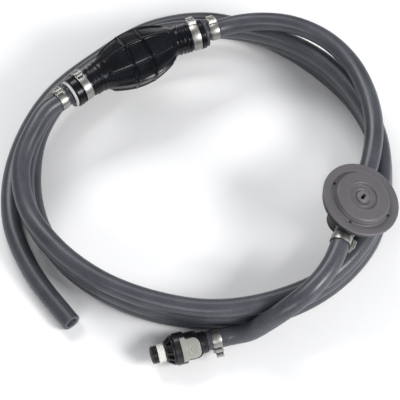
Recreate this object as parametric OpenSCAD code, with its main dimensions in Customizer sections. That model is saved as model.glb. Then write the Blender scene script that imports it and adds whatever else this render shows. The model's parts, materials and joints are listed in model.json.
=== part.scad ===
// Fuel line with a squeeze primer bulb, a round diaphragm demand valve and a push-button coupler.
// Millimetres, +Z up, resting on the floor at z = 0.

/* [Hose] */
// Outer diameter of the hose
hose_od = 16; // [15.9:0.05:16.1]
// Inner diameter of the hose
hose_id = 9.5; // [9:0.1:9.6]
// Depth of the open bore at a hose end that sits on a barb
cuff_bore = 14; // [13.8:0.1:15]
// Depth of the open bore at the free hose end
free_bore = 18; // [14:1:20]

/* [Primer bulb] */
// Largest outer diameter of the bulb
bulb_d = 48; // [46:0.5:49]
// Outer diameter of the bulb's necks under the clamps
neck_d = 24; // [23.8:0.1:24.4]
// Inner diameter of the bulb's necks
neck_id = 20; // [19.95:0.01:20.1]
// Outer diameter of the end lips
lip_d = 26.8; // [26.2:0.1:27.4]
// Wall of the bulb
bulb_wall = 2.6; // [2.4:0.1:2.8]
// Height of the moulded ribs over the bulb's skin
rib_h = 1; // [0.6:0.1:1.2]

/* [Demand valve] */
// Outer diameter of the round cover
cover_d = 66.4; // [66:0.2:68]
// Diameter of the raised middle of the cover
plateau_d = 48.4; // [47:0.2:50]
// Diameter of the override button
button_d = 11.4; // [11:0.1:12.6]
// Travel of the diaphragm, its plate and its poppet
demand_travel = 1.8; // [1:0.1:1.9]
// Tilt of the valve about its flow axis, in degrees
valve_roll = 16.7; // [16:0.1:17]

/* [Coupler] */
// Diameter of the coupler's front flange
flange_d = 26.8; // [26:0.1:27]
// Diameter of the coupler's barrel
barrel_d = 18.2; // [18:0.1:18.6]
// Diameter of the fitting's probe
probe_d = 12; // [11.8:0.05:12.05]
// Diameter of the socket that holds the probe
socket_d = 12.16; // [12.1:0.02:12.2]
// Crest diameter of the male pipe thread
thread_d = 15.2; // [15:0.1:15.3]
// Outer diameter over the thread tape
tape_d = 15.9; // [15.7:0.1:16.1]

/* [Clamps] */
// Width of a clamp band
band_w = 7.5; // [6:0.5:7.5]
// Thickness of a wound band
band_t = 1.1; // [0.8:0.1:1.2]
// Height of a buckle over its band
buckle_h = 2.6; // [2:0.1:3]

/* [Hidden] */

$fn = 48;
gap = 0.05;              // clearance of a fixed fit
tube_sides = 10;         // sides of a swept hose
tube_r = hose_od / 2 - 0.1;
cuff_len = cuff_bore + 2;
barb_len = 13.5;         // length of a barb inside its hose
barb_r = hose_id / 2 - 0.03;

// Axes of the pieces, as headings in the floor plane.
bulb_heading = 29.5;
outlet_heading = 218;
inlet_heading = 20;
flow_heading = 70;
flow_pitch = -5.9;
coupler_heading = 15.5;
coupler_pitch = 0.5;

function heading(a, pitch = 0) = [cos(pitch) * cos(a), cos(pitch) * sin(a), sin(pitch)];

// The bulb: a long body with a neck at each end, bent a little at both necks.
bulb_pos = [-71.5, 115.5, 55];
body_left = 33;          // body's centre to the outlet neck
body_right = 33;         // body's centre to the inlet neck
outlet_neck = 34;        // length of the outlet neck
inlet_neck = 31.5;       // length of the inlet neck
outlet_root = bulb_pos - body_left * heading(bulb_heading);
inlet_root = bulb_pos + body_right * heading(bulb_heading);
outlet_face = outlet_root + outlet_neck * heading(outlet_heading);
inlet_face = inlet_root + inlet_neck * heading(inlet_heading);
stand_off = 4.5;         // lip face to the end of the hose
outlet_hose_end = outlet_face + stand_off * heading(outlet_heading);
inlet_hose_end = inlet_face + stand_off * heading(inlet_heading);

// The demand valve: its origin is the middle of the flow passage.
valve_pos = [110, -40, 62];
barb_reach = 22;         // flow centre to the end of each hose
valve_in = valve_pos + barb_reach * heading(flow_heading, flow_pitch);
valve_out = valve_pos - barb_reach * heading(flow_heading, flow_pitch);

// The coupler: its origin is the tip of the tank fitting.
coupler_len = 46.8;      // fitting's tip to the end of the hose
coupler_axis = heading(coupler_heading, coupler_pitch);
coupler_hose_end = [-10.8, -138.2, 15.4];
coupler_pos = coupler_hose_end - coupler_len * coupler_axis;
button_roll = -50;       // front button faces up and forward
thread_len = 11.4;
bare_thread = 5.2;
tape_bore = 14;
fin_end = 18.6;
flange_start = 18.9;
button_start = 24.4;
strip_end = 29.4;
button_end = 40.2;
tail_start = 44;

// Routes of the three hoses. The long hose leaves the bulb on top of the stack, goes round three
// times and drops one level each time. Each row is one turn, counter-clockwise from the left.
turn_top = [
    [-162, -24, 41], [-138, -61, 41], [-100, -93, 41], [-54, -113, 41], [-4, -121, 41],
    [46, -112.5, 41], [90, -90.5, 41], [122, -53, 41], [137, -6, 41], [137, 44, 41],
    [120, 88, 41], [89, 126, 41], [44, 152, 39.5], [-8, 162, 36], [-60, 154, 36],
    [-102, 127, 36.3], [-137, 91, 36.6], [-157, 54, 35], [-166, 18, 28]
];
turn_middle = [
    [-160, -24, 24.5], [-136, -61, 24.5], [-99, -92, 24.5], [-53, -112, 24.5], [-4, -118, 24.5],
    [48, -111, 24.5], [92, -87, 24.5], [123, -50, 24.5], [139, -4, 24.5], [140, 46, 24.5],
    [123, 92, 24.5], [92, 130, 24.5], [48, 158, 23.5], [-6, 173, 19], [-64, 163, 19],
    [-104, 134, 19.5], [-141, 94, 20], [-158, 56, 18], [-162, 18, 10]
];
turn_bottom = [
    [-154, -22, 8], [-132, -60, 8], [-96, -90, 8], [-52, -109, 8], [-4, -115, 8],
    [49, -108, 8], [94, -83, 8], [126, -46, 8], [141, -2, 8], [142, 48, 8],
    [126, 94, 8], [96, 132, 8], [54, 165, 8], [-2, 190, 8], [-59, 182, 8],
    [-109, 147, 8], [-151, 104, 8], [-171, 62, 8], [-180, 18, 8]
];
free_end = [-122, -118, 8];
free_last = [-142, -93, 8];
engine_route = concat(
    [[-158, 42, 52.5], [-167, 16, 47]], turn_top, turn_middle, turn_bottom,
    [[-177, -24, 8], [-162, -62, 8], free_last]
);
middle_route = [
    [34, 154, 56.5], [64, 150, 58], [93, 135, 58], [114, 111, 58], [127, 80, 58],
    [132, 46, 57.6], [129, 18, 58.2]
];
tank_route = [
    [90.7, -91, 66.4], [71.1, -116.3, 63.8], [55.7, -126.2, 56.3], [36.4, -132.3, 38.2], [23.7, -133.1, 23.5]
];

// Sweeping.
function unit(v) = v / norm(v);
function bisector(path, i) =
    i == 0 ? unit(path[1] - path[0])
    : i == len(path) - 1 ? unit(path[i] - path[i - 1])
    : unit(unit(path[i] - path[i - 1]) + unit(path[i + 1] - path[i]));
// Two stations in line with a hose end, so that the tube meets its sleeve squarely.
function root(face, axis, length) = [for (reach = [length - 1, length + 1]) face + reach * axis];
function reversed(path) = [for (i = [len(path) - 1:-1:0]) path[i]];
function ring(centre, axis, r, n) =
    let (side = unit(cross([0, 0, 1], axis)), up = cross(axis, side))
    [for (j = [0:n - 1]) centre + r * (cos(360 * j / n) * side + sin(360 * j / n) * up)];
function sweep_faces(rings, n) = concat(
    [[for (j = [0:n - 1]) j]],
    [for (i = [0:rings - 2]) for (j = [0:n - 1])
        [i * n + j, (i + 1) * n + j, (i + 1) * n + (j + 1) % n, i * n + (j + 1) % n]],
    [[for (j = [n - 1:-1:0]) (rings - 1) * n + j]]
);

module swept_tube(path) {
    points = [for (i = [0:len(path) - 1]) each ring(path[i], bisector(path, i), tube_r, tube_sides)];
    polyhedron(points, sweep_faces(len(path), tube_sides), convexity = 10);
}

module coil_spring(coil_r, wire_r, length, turns) {
    steps = turns * 12;
    rise = (length - 2 * wire_r) / steps;
    points = [for (i = [0:steps]) for (j = [0:5])
        let (a = 30 * i, w = 60 * j)
        [(coil_r + wire_r * cos(w)) * cos(a), (coil_r + wire_r * cos(w)) * sin(a),
         wire_r + rise * i - wire_r * sin(w)]];
    polyhedron(points, sweep_faces(steps + 1, 6), convexity = 10);
}

// Placing.
module aim(pos, a, pitch = 0, roll = 0) {
    translate(pos) rotate([0, -pitch, a]) rotate([roll, 0, 0]) children();
}
module along_x() {
    rotate([0, 90, 0]) children();
}
module rod(r, from, to) {
    translate([from, 0, 0]) along_x() cylinder(r = r, h = to - from);
}
module pipe(r, bore_r, from, to) {
    difference() {
        rod(r, from, to);
        rod(bore_r, from - 1, to + 1);
    }
}
module in_valve() {
    translate(valve_pos) rotate([0, 0, flow_heading - 90]) rotate([flow_pitch, 0, 0])
        rotate([0, valve_roll, 0]) children();
}
module in_coupler(roll = 0) {
    aim(coupler_pos, coupler_heading, coupler_pitch, roll) children();
}

// A hose end: a straight sleeve with a true bore, its open end at the origin.
module cuff(bore, length) {
    difference() {
        rod(hose_od / 2, 0, length);
        rod(hose_id / 2, -1, bore);
    }
}
// A ridged barb that starts at the origin and points along X, with a plain stem behind it.
module barb(stem) {
    difference() {
        union() {
            rod(barb_r - 0.5, -stem, barb_len);
            for (x = [1.5:4:9.5])
                translate([x, 0, 0]) along_x() cylinder(r1 = barb_r, r2 = barb_r - 0.5, h = 3);
        }
        rod(3, -stem - 1, barb_len + 1);
    }
}

module engine_hose() {
    exit = heading(outlet_heading);
    free_axis = unit(free_end - free_last);
    free_heading = atan2(-free_axis[1], -free_axis[0]);
    free_len = free_bore + 2;
    path = concat(
        root(outlet_hose_end, exit, cuff_len), engine_route,
        [free_end - (free_len - 1) * free_axis]
    );
    color("#3b4049") {
        swept_tube(path);
        aim(outlet_hose_end, outlet_heading) cuff(cuff_bore, cuff_len);
        aim(free_end, free_heading) cuff(free_bore, free_len);
    }
}

module middle_hose() {
    path = concat(
        root(inlet_hose_end, heading(inlet_heading), cuff_len), middle_route,
        reversed(root(valve_in, heading(flow_heading, flow_pitch), cuff_len))
    );
    color("#3b4049") {
        swept_tube(path);
        aim(inlet_hose_end, inlet_heading) cuff(cuff_bore, cuff_len);
        aim(valve_in, flow_heading, flow_pitch) cuff(cuff_bore, cuff_len);
    }
}

module tank_hose() {
    path = concat(
        root(valve_out, -heading(flow_heading, flow_pitch), cuff_len), tank_route,
        reversed(root(coupler_hose_end, coupler_axis, cuff_len))
    );
    color("#3b4049") {
        swept_tube(path);
        aim(valve_out, flow_heading + 180, -flow_pitch) cuff(cuff_bore, cuff_len);
        aim(coupler_hose_end, coupler_heading, coupler_pitch) cuff(cuff_bore, cuff_len);
    }
}

// Bulb outline: widest in the middle, with full shoulders that run into the necks.
body_half = 36;
function bulb_r(x, offset = 0) =
    neck_d / 2 - 0.3 + (bulb_d - neck_d) / 2 * pow(max(cos(90 * x / body_half), 0), 0.75) + offset;
module bulb_solid(offset) {
    steps = 24;
    from = -body_half;
    run = 2 * body_half;
    edge = [for (i = [0:steps]) let (x = from + run * i / steps) [bulb_r(x, offset), x]];
    along_x() rotate_extrude() polygon(concat([[0, from]], edge, [[0, from + run]]));
}
module bulb_fin(angle) {
    steps = 16;
    from = -body_half + 4;
    run = 2 * body_half - 8;
    upper = [for (i = [0:steps]) let (x = from + run * i / steps) [x, bulb_r(x, rib_h)]];
    lower = [for (i = [steps:-1:0]) [upper[i][0], -upper[i][1]]];
    rotate([angle, 0, 0]) translate([0, 0, -1.1]) linear_extrude(2.2) polygon(concat(upper, lower));
}
module bulb_shell() {
    fold_pitch = 3.2;
    color("#1d1e21") difference() {
        union() {
            aim(bulb_pos, bulb_heading) {
                bulb_solid(0);
                for (a = [-47:45:88]) bulb_fin(a);
                for (x = [-10, 7]) rod(bulb_r(x, rib_h - 0.15), x - 1.1, x + 1.1);
            }
            aim(outlet_root, outlet_heading) {
                rod(neck_d / 2, -4, outlet_neck);
                rod(lip_d / 2, outlet_neck - 6.5, outlet_neck);
                rod(lip_d / 2 - 0.2, 13.6, 17);
            }
            aim(inlet_root, inlet_heading) {
                rod(neck_d / 2, -4, inlet_neck);
                rod(lip_d / 2, inlet_neck - 4.7, inlet_neck);
                for (i = [0:3]) rod(lip_d / 2 + 0.3, 6.4 + fold_pitch * i, 8.2 + fold_pitch * i);
            }
        }
        aim(bulb_pos, bulb_heading) bulb_solid(-bulb_wall);
        aim(outlet_root, outlet_heading) rod(neck_id / 2, 0, outlet_neck + 1);
        aim(inlet_root, inlet_heading) rod(neck_id / 2, 0, inlet_neck + 1);
    }
}

// One-way valves in the necks. X points out of the neck and the lip face is at the origin.
check_len = 20;
chamber_r = 6;
module check_body(shoulder) {
    difference() {
        union() {
            rod(neck_id / 2 - gap, -check_len, 0.2);
            rod(12, 0, 2.5);
            translate([stand_off, 0, 0]) barb(stand_off);
        }
        rod(3, -check_len - 1, stand_off + barb_len + 1);
        rod(chamber_r, -check_len - 1, shoulder);
    }
}
module check_ring() {
    pipe(chamber_r - gap, 3.6, -check_len, -check_len + 2.5);
}
// A disc with three wings that keep it central; the disc's seat side is at the origin.
module check_poppet(dir) {
    disc = dir > 0 ? 0 : -1.4;
    rod(4.8, disc, disc + 1.4);
    rod(1.4, min(0, dir * 5), max(0, dir * 5));
}
module inlet_check_body() {
    color("#b9bbb8") aim(inlet_face, inlet_heading) check_body(-5);
}
module inlet_check_poppet() {
    color("#e6e6e0") aim(inlet_face, inlet_heading) translate([-5.1, 0, 0]) check_poppet(-1);
}
module inlet_check_spring() {
    color("#c8ccd0") aim(inlet_face, inlet_heading) translate([-17.3, 0, 0])
        along_x() coil_spring(3.9, 0.35, 10.6, 5);
}
module inlet_check_retainer() {
    color("#d8d8d2") aim(inlet_face, inlet_heading) check_ring();
}
module outlet_check_body() {
    color("#b9bbb8") aim(outlet_face, outlet_heading) check_body(-5);
}
module outlet_check_seat() {
    color("#d8d8d2") aim(outlet_face, outlet_heading) check_ring();
}
module outlet_check_poppet() {
    color("#e6e6e0") aim(outlet_face, outlet_heading) translate([-17.4, 0, 0]) check_poppet(1);
}
module outlet_check_spring() {
    color("#c8ccd0") aim(outlet_face, outlet_heading) translate([-15.8, 0, 0])
        along_x() coil_spring(3.9, 0.35, 10.6, 5);
}

// Band clamps. X is the axis of the hose or neck and the buckle stands on the +Z side.
module clamp_band(inner_r) {
    difference() {
        rod(inner_r + band_t, -band_w / 2, band_w / 2);
        rod(inner_r, -band_w, band_w);
    }
}
module clamp_buckle(inner_r) {
    base = inner_r + band_t + gap;
    length = band_w + 0.5;
    difference() {
        union() {
            translate([-length / 2, -4, base]) cube([length, 8, buckle_h]);
            translate([-band_w / 2, 4, base + 0.9]) cube([band_w, 2.5, 0.8]);
            translate([0, 6.5, base + 1.3]) rod(1.2, -band_w / 2, band_w / 2);
        }
        rod(inner_r + band_t + gap, -length, length);
        translate([0, 0, base + buckle_h + 1.2]) sphere(r = 2.2);
    }
}
// Each entry: position of the band's middle, heading, pitch, roll of the buckle, inner radius.
hose_clamps = [
    [outlet_hose_end + 6 * heading(outlet_heading), outlet_heading, 0, 35],
    [inlet_hose_end + 5 * heading(inlet_heading), inlet_heading, 0, -35],
    [valve_in + 12 * heading(flow_heading, flow_pitch), flow_heading, flow_pitch, 110],
    [valve_out - 12 * heading(flow_heading, flow_pitch), flow_heading + 180, -flow_pitch, -110],
    [coupler_hose_end + 8 * coupler_axis, coupler_heading, coupler_pitch, 120]
];
bulb_clamps = [
    [outlet_face - 12 * heading(outlet_heading), outlet_heading, 0, 35],
    [inlet_face - 8.8 * heading(inlet_heading), inlet_heading, 0, -35]
];
module hose_clamp_bands() {
    color("#d9d9d6") for (c = hose_clamps) aim(c[0], c[1], c[2], c[3]) clamp_band(hose_od / 2 + gap);
}
module hose_clamp_buckles() {
    color("#cfd0cd") for (c = hose_clamps) aim(c[0], c[1], c[2], c[3]) clamp_buckle(hose_od / 2 + gap);
}
module bulb_clamp_bands() {
    color("#d9d9d6") for (c = bulb_clamps) aim(c[0], c[1], c[2], c[3]) clamp_band(neck_d / 2 + gap);
}
module bulb_clamp_buckles() {
    color("#cfd0cd") for (c = bulb_clamps) aim(c[0], c[1], c[2], c[3]) clamp_buckle(neck_d / 2 + gap);
}

// Demand valve. Z points out of the cover, Y towards the inlet, and the flow axis is at z = 0.
sump_offset = 1;
sump_depth = 26;
cover_base = 13;
cover_edge = cover_base + 4;
cover_top = cover_edge + 5;
module valve_cover() {
    r = cover_d / 2;
    p = plateau_d / 2;
    notch = 2;
    color("#6b686c") in_valve() difference() {
        rotate_extrude() polygon([
            [button_d / 2 + 0.1, cover_top - 3.8], [18.5, cover_top - 3.8], [22, cover_base + 1],
            [r - 3, cover_base], [r - 1.4, cover_base + 1.4], [r, cover_base + 2.2],
            [r, cover_edge - 1], [r - 1, cover_edge], [p + 2.4, cover_edge],
            [p + 0.8, cover_edge - 0.8], [p, cover_edge + 0.2], [p - 1.6, cover_top],
            [12.6, cover_top + 0.3], [11.4, cover_top - 1.2], [button_d / 2 + 0.1, cover_top - 1.6]
        ]);
        for (a = [17, 137, 257])
            rotate([0, 0, a]) translate([p + 0.4, -notch / 2, cover_edge - 2])
                cube([notch, notch, 4]);
    }
}
module override_button() {
    top = cover_top - 0.3;
    color("#77747a") in_valve() difference() {
        union() {
            cylinder(r = button_d / 2, h = top, center = false);
            translate([0, 0, cover_base - 0.4]) cylinder(r = button_d / 2 + 1.4, h = 0.9);
        }
        translate([0, 0, -1]) cylinder(r = button_d, h = cover_base + 0.6);
        rotate([0, 0, -12]) translate([-1.15, -2.8, top - 1.8]) cube([2.3, 5.6, 3]);
    }
}
// Rubber sheet held at its rim, with one rolled convolution.
module diaphragm() {
    color("#26272a") in_valve() rotate_extrude() polygon([
        [16.4, 11.6], [17.8, 11.6], [19.4, 10.6], [21.4, 10.6], [23, 11.6], [31.2, 11.6],
        [31.2, 12.7], [22.6, 12.7], [21, 11.7], [19.8, 11.7], [18.2, 12.7], [16.4, 12.7]
    ]);
}
module diaphragm_plate() {
    color("#c9cbcc") in_valve() difference() {
        union() {
            translate([0, 0, 11.4]) cylinder(r = 16, h = 1.1);
            translate([0, 0, 9.6]) cylinder(r = 4, h = 2);
        }
        translate([0, 0, 9]) cylinder(r = 1.55, h = 5);
    }
}
module demand_poppet() {
    color("#e2e2dc") in_valve() {
        translate([0, 0, -1.9]) cylinder(r = 1.5, h = 14.3);
        translate([0, 0, -1.9]) cylinder(r = 4.3, h = 1.4);
        translate([0, 0, -3.4]) cylinder(r = 1.4, h = 2);
    }
}
module demand_poppet_seal() {
    color("#1d1e21") in_valve() translate([0, 0, -0.5]) difference() {
        cylinder(r = 4.2, h = 0.9);
        translate([0, 0, -1]) cylinder(r = 1.55, h = 3);
    }
}
module demand_spring() {
    color("#c8ccd0") in_valve() translate([0, 0, -6.9]) coil_spring(3.2, 0.35, 4.9, 4);
}
module valve_body() {
    color("#2b2b2e") in_valve() difference() {
        union() {
            rotate_extrude() polygon([
                [0, -8], [16, -8], [17, -7], [17, 2], [19, 8.4], [24, 9.2], [31.4, 9.6],
                [31.4, 11.5], [0, 11.5]
            ]);
            translate([-sump_offset, 0, -sump_depth]) cylinder(r1 = 12, r2 = 13, h = 1);
            translate([-sump_offset, 0, 1 - sump_depth]) cylinder(r = 13, h = sump_depth - 4);
            for (side = [90, 270]) rotate([0, 0, side]) {
                rod(6.6, 15, barb_reach - 0.6);
                translate([barb_reach, 0, 0]) barb(2);
            }
        }
        rotate_extrude() polygon([
            [0, 3.4], [14, 3.4], [15.5, 5], [17.6, 9.6], [24.4, 10.4], [24.4, 12], [0, 12]
        ]);
        cylinder(r = 3.2, h = 5);
        translate([0, 0, -10]) cylinder(r = 5.2, h = 10.5);
        translate([-sump_offset, 0, -sump_depth - 1]) cylinder(r = 10, h = sump_depth - 8);
        rotate([0, 0, 90]) rod(3, 0, barb_reach + barb_len);
        rotate([0, 0, 270]) rod(3, 11, barb_reach + barb_len);
        translate([0, -12, -1]) cylinder(r = 2.4, h = 6);
    }
}
module valve_bottom_plug() {
    color("#2b2b2e") in_valve() {
        translate([-sump_offset, 0, -sump_depth]) cylinder(r = 10 - gap, h = 3);
        translate([0, 0, -sump_depth + 2]) cylinder(r = 4.4, h = sump_depth - 9);
    }
}

// Coupler. X runs from the fitting's tip towards the hose.
module coupler_body() {
    r = barrel_d / 2;
    f = flange_d / 2;
    color("#222326") in_coupler() difference() {
        union() {
            along_x() rotate_extrude() polygon([
                [0, flange_start], [f - 1.2, flange_start], [f, flange_start + 1.2],
                [f, strip_end - 1.2], [f - 1.2, strip_end], [r, strip_end],
                [r, tail_start - 0.05], [0, tail_start - 0.05]
            ]);
        }
        for (side = [90, 270]) rotate([button_roll + side, 0, 0]) difference() {
            translate([button_start - 0.2, -10.9, 0]) cube([8, 21.8, 20]);
            rod(r, 0, 40);
        }
        rod(socket_d / 2, flange_start - 1, 38.5);
        rod(3, 38, 41);
        rod(5, 40, tail_start + 1);
        for (roll = [90, 270])
            rotate([button_roll + roll, 0, 0]) translate([33.5, 0, 7.2]) cylinder(r = 1.7, h = 5);
    }
}
module coupler_tail() {
    r = barrel_d / 2;
    color("#222326") in_coupler() {
        difference() {
            rod(r, tail_start, coupler_len - 0.8);
            rod(3, tail_start - 1, coupler_len);
            rod(4.4, tail_start - 1, tail_start + 0.8);
        }
        translate([coupler_len, 0, 0]) barb(1.2);
    }
}
// A curved pad with a wide strip beside the flange and a guide pin under its middle.
module release_button(roll) {
    inner = 11;
    outer = 13;
    width = 17.6;
    corner = 5;
    strip = 21;
    color("#9a9c93") in_coupler(roll) {
        intersection() {
            difference() {
                rod(outer, button_start, button_end);
                rod(inner, button_start - 1, button_end + 1);
            }
            linear_extrude(20) union() {
                translate([button_start, -strip / 2]) square([strip_end - button_start, strip]);
                translate([button_start, -width / 2]) square([button_end - corner - button_start, width]);
                for (side = [-1, 1])
                    translate([button_end - corner, side * (width / 2 - corner)]) circle(r = corner);
                translate([strip_end, -width / 2 + corner])
                    square([button_end - strip_end, width - 2 * corner]);
            }
        }
        translate([33.5, 0, 9]) cylinder(r = 1.6, h = 2.2);
    }
}
module release_button_front() {
    release_button(button_roll + 90);
}
module release_button_rear() {
    release_button(button_roll + 270);
}
module coupler_poppet() {
    color("#e2e2dc") in_coupler() {
        rod(1.4, 35, 41);
        rod(4.2, 41, 42.2);
    }
}
module coupler_poppet_seal() {
    color("#1d1e21") in_coupler() pipe(4.2, 1.45, 40.3, 40.95);
}
module coupler_spring() {
    color("#c8ccd0") in_coupler() translate([42.25, 0, 0]) along_x() coil_spring(3.6, 0.3, 2.5, 3);
}
module tank_fitting() {
    fins = 12;
    color("#222326") in_coupler() difference() {
        union() {
            rod(thread_d / 2, 0, bare_thread);
            rod(tape_bore / 2, bare_thread - 0.1, thread_len + 0.1);
            translate([thread_len, 0, 0]) along_x()
                cylinder(r1 = 8.6, r2 = 12.6, h = fin_end - thread_len);
            rod(probe_d / 2, fin_end - 0.1, 36);
        }
        for (i = [0:fins - 1])
            rotate([360 * i / fins, 0, 0]) translate([thread_len + 2, -1.5, 8.2])
                cube([fin_end - thread_len - 3.4, 3, 6]);
        rod(5.4, -1, 6);
        rod(2.6, -1, 37);
        difference() {
            rod(probe_d, 27, 29);
            rod(4.6, 26, 30);
        }
    }
}
module thread_tape() {
    color("#eeeee6") in_coupler() pipe(tape_d / 2, tape_bore / 2 + 0.02, 5.6, thread_len - 0.05);
}
module fitting_oring() {
    color("#1d1e21") in_coupler() translate([28, 0, 0]) along_x() rotate_extrude()
        translate([5.35, 0]) circle(r = 0.7);
}

engine_hose();
middle_hose();
tank_hose();
bulb_shell();
inlet_check_body();
inlet_check_poppet();
inlet_check_spring();
inlet_check_retainer();
outlet_check_body();
outlet_check_poppet();
outlet_check_spring();
outlet_check_seat();
bulb_clamp_bands();
bulb_clamp_buckles();
hose_clamp_bands();
hose_clamp_buckles();
valve_cover();
override_button();
diaphragm();
diaphragm_plate();
demand_poppet();
demand_poppet_seal();
demand_spring();
valve_body();
valve_bottom_plug();
coupler_body();
coupler_tail();
release_button_front();
release_button_rear();
coupler_poppet();
coupler_poppet_seal();
coupler_spring();
tank_fitting();
thread_tape();
fitting_oring();
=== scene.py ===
import bmesh
import bpy
import json
import math
from bisect import bisect_right
from mathutils import Matrix, Vector, noise


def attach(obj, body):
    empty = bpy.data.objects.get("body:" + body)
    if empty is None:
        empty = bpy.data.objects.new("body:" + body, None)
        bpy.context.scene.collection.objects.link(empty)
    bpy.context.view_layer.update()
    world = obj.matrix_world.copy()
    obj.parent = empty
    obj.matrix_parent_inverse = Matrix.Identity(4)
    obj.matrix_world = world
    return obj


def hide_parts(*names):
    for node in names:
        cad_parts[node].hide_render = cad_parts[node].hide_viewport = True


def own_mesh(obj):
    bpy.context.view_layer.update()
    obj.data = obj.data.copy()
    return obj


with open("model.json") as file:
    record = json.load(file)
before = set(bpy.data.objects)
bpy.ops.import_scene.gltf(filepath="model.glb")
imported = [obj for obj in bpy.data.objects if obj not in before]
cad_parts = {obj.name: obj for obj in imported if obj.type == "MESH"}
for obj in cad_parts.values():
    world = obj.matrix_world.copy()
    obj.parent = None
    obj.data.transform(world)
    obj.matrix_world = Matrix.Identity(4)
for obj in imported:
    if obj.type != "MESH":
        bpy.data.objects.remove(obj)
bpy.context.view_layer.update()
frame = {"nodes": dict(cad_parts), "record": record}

# Lengths below are in millimetres and become metres when a mesh is made.
MM = 0.001
BODY = "line"
TURN = 2 * math.pi


# ---------------------------------------------------------------- placing and shapes

def heading(turn, pitch=0.0):
    a, p = math.radians(turn), math.radians(pitch)
    return Vector((math.cos(p) * math.cos(a), math.cos(p) * math.sin(a), math.sin(p)))


def turn(angle, axis):
    return Matrix.Rotation(math.radians(angle), 4, axis)


def aim(pos, a, pitch=0.0, roll=0.0):
    return Matrix.Translation(Vector(pos)) @ turn(a, "Z") @ turn(-pitch, "Y") @ turn(roll, "X")


def smoothstep(x):
    x = min(max(x, 0.0), 1.0)
    return x * x * (3 - 2 * x)


def bump(x, half):
    """A round ridge of height 1 and half-width half."""
    x = abs(x) / half
    return 0.0 if x >= 1 else 0.5 + 0.5 * math.cos(math.pi * x)


def rounded(points, radius=0.4, steps=3, closed=False):
    """A 2-D outline with its corners rounded. A third number is a corner's own radius."""
    out = []
    count = len(points)
    for i, p in enumerate(points):
        r = p[2] if len(p) > 2 else radius
        if r <= 0 or (not closed and i in (0, count - 1)):
            out.append((p[0], p[1]))
            continue
        b = Vector(p[:2])
        u = Vector(points[i - 1][:2]) - b
        w = Vector(points[(i + 1) % count][:2]) - b
        k = min(r, u.length * 0.48, w.length * 0.48)
        start, end = b + u.normalized() * k, b + w.normalized() * k
        for j in range(steps + 1):
            t = j / steps
            out.append(tuple(start * (1 - t) ** 2 + b * 2 * t * (1 - t) + end * t * t))
    return out


class Shape:
    """Vertices and faces of one piece, in millimetres."""

    def __init__(self):
        self.verts, self.faces, self.uvs = [], [], []

    def rings(self, rings, caps=(False, False), around=None, along=None, closed=False):
        """Joins rings of points, in order, into one skin."""
        base, n = len(self.verts), len(rings[0])
        for ring in rings:
            self.verts.extend(tuple(p) for p in ring)
        rows = len(rings)
        for i in range(rows if closed else rows - 1):
            k = (i + 1) % rows
            for j in range(n):
                m = (j + 1) % n
                self.faces.append((base + i * n + j, base + k * n + j, base + k * n + m, base + i * n + m))
                u0, u1 = j / n, (j + 1) / n
                v0 = along[i] if along else i / rows
                v1 = along[i + 1] if along and i + 1 < len(along) else (i + 1) / rows
                self.uvs.append(((u0, v0), (u0, v1), (u1, v1), (u1, v0)))
        for cap, row, order in ((caps[0], 0, 1), (caps[1], rows - 1, -1)):
            if cap:
                self.faces.append(tuple(base + row * n + j for j in range(n))[::order])
                self.uvs.append(tuple((j / n, 0.0) for j in range(n)))
        return self

    def lathe(self, profile, place, n=96, closed=False, axis="X"):
        """Turns an outline of (along, radius) pairs about an axis of place."""
        rings = []
        for x, r in profile:
            ring = []
            for j in range(n):
                a = TURN * j / n
                if axis == "X":
                    p = Vector((x, r * math.cos(a), r * math.sin(a)))
                else:
                    p = Vector((r * math.cos(a), r * math.sin(a), x))
                ring.append(place @ p)
            rings.append(ring)
        return self.rings(rings, closed=closed, along=[p[0] * MM for p in profile])

    def patch(self, top, bottom):
        """A closed slab between two grids of points with the same rows and columns."""
        rows, cols = len(top), len(top[0])
        base = len(self.verts)
        for grid in (top, bottom):
            for row in grid:
                self.verts.extend(tuple(p) for p in row)
        under = base + rows * cols

        def quad(*corners):
            self.faces.append(corners)
            self.uvs.append(((0, 0), (1, 0), (1, 1), (0, 1)))

        for i in range(rows - 1):
            for j in range(cols - 1):
                a = i * cols + j
                quad(base + a, base + a + cols, base + a + cols + 1, base + a + 1)
                quad(under + a, under + a + 1, under + a + cols + 1, under + a + cols)
        rim = [j for j in range(cols)] + [i * cols + cols - 1 for i in range(1, rows)]
        rim += [(rows - 1) * cols + j for j in range(cols - 2, -1, -1)]
        rim += [i * cols for i in range(rows - 2, 0, -1)]
        for a, b in zip(rim, rim[1:] + rim[:1]):
            quad(base + a, base + b, under + b, under + a)
        return self

    def make(self, name, material, body, slot, replaces=(), sharp=38):
        mesh = bpy.data.meshes.new(name)
        mesh.from_pydata([(x * MM, y * MM, z * MM) for x, y, z in self.verts], [], self.faces)
        layer = mesh.uv_layers.new(name="UVMap")
        loop = 0
        for uv in self.uvs:
            for u, v in uv:
                layer.data[loop].uv = (u, v)
                loop += 1
        obj = bpy.data.objects.new(name, mesh)
        bpy.context.scene.collection.objects.link(obj)
        tidy(mesh, sharp)
        mesh.materials.append(material)
        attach(obj, body)
        if replaces:
            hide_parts(*replaces)
        return obj


def tidy(mesh, sharp):
    """Merges doubled points, points the faces outward and marks the sharp edges."""
    bm = bmesh.new()
    bm.from_mesh(mesh)
    bmesh.ops.remove_doubles(bm, verts=bm.verts, dist=1e-7)
    bmesh.ops.dissolve_degenerate(bm, edges=bm.edges, dist=1e-7)
    bmesh.ops.recalc_face_normals(bm, faces=bm.faces)
    bm.to_mesh(mesh)
    bm.free()
    mesh.shade_smooth()
    mesh.set_sharp_from_angle(angle=math.radians(sharp))


# ---------------------------------------------------------------- materials

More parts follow.
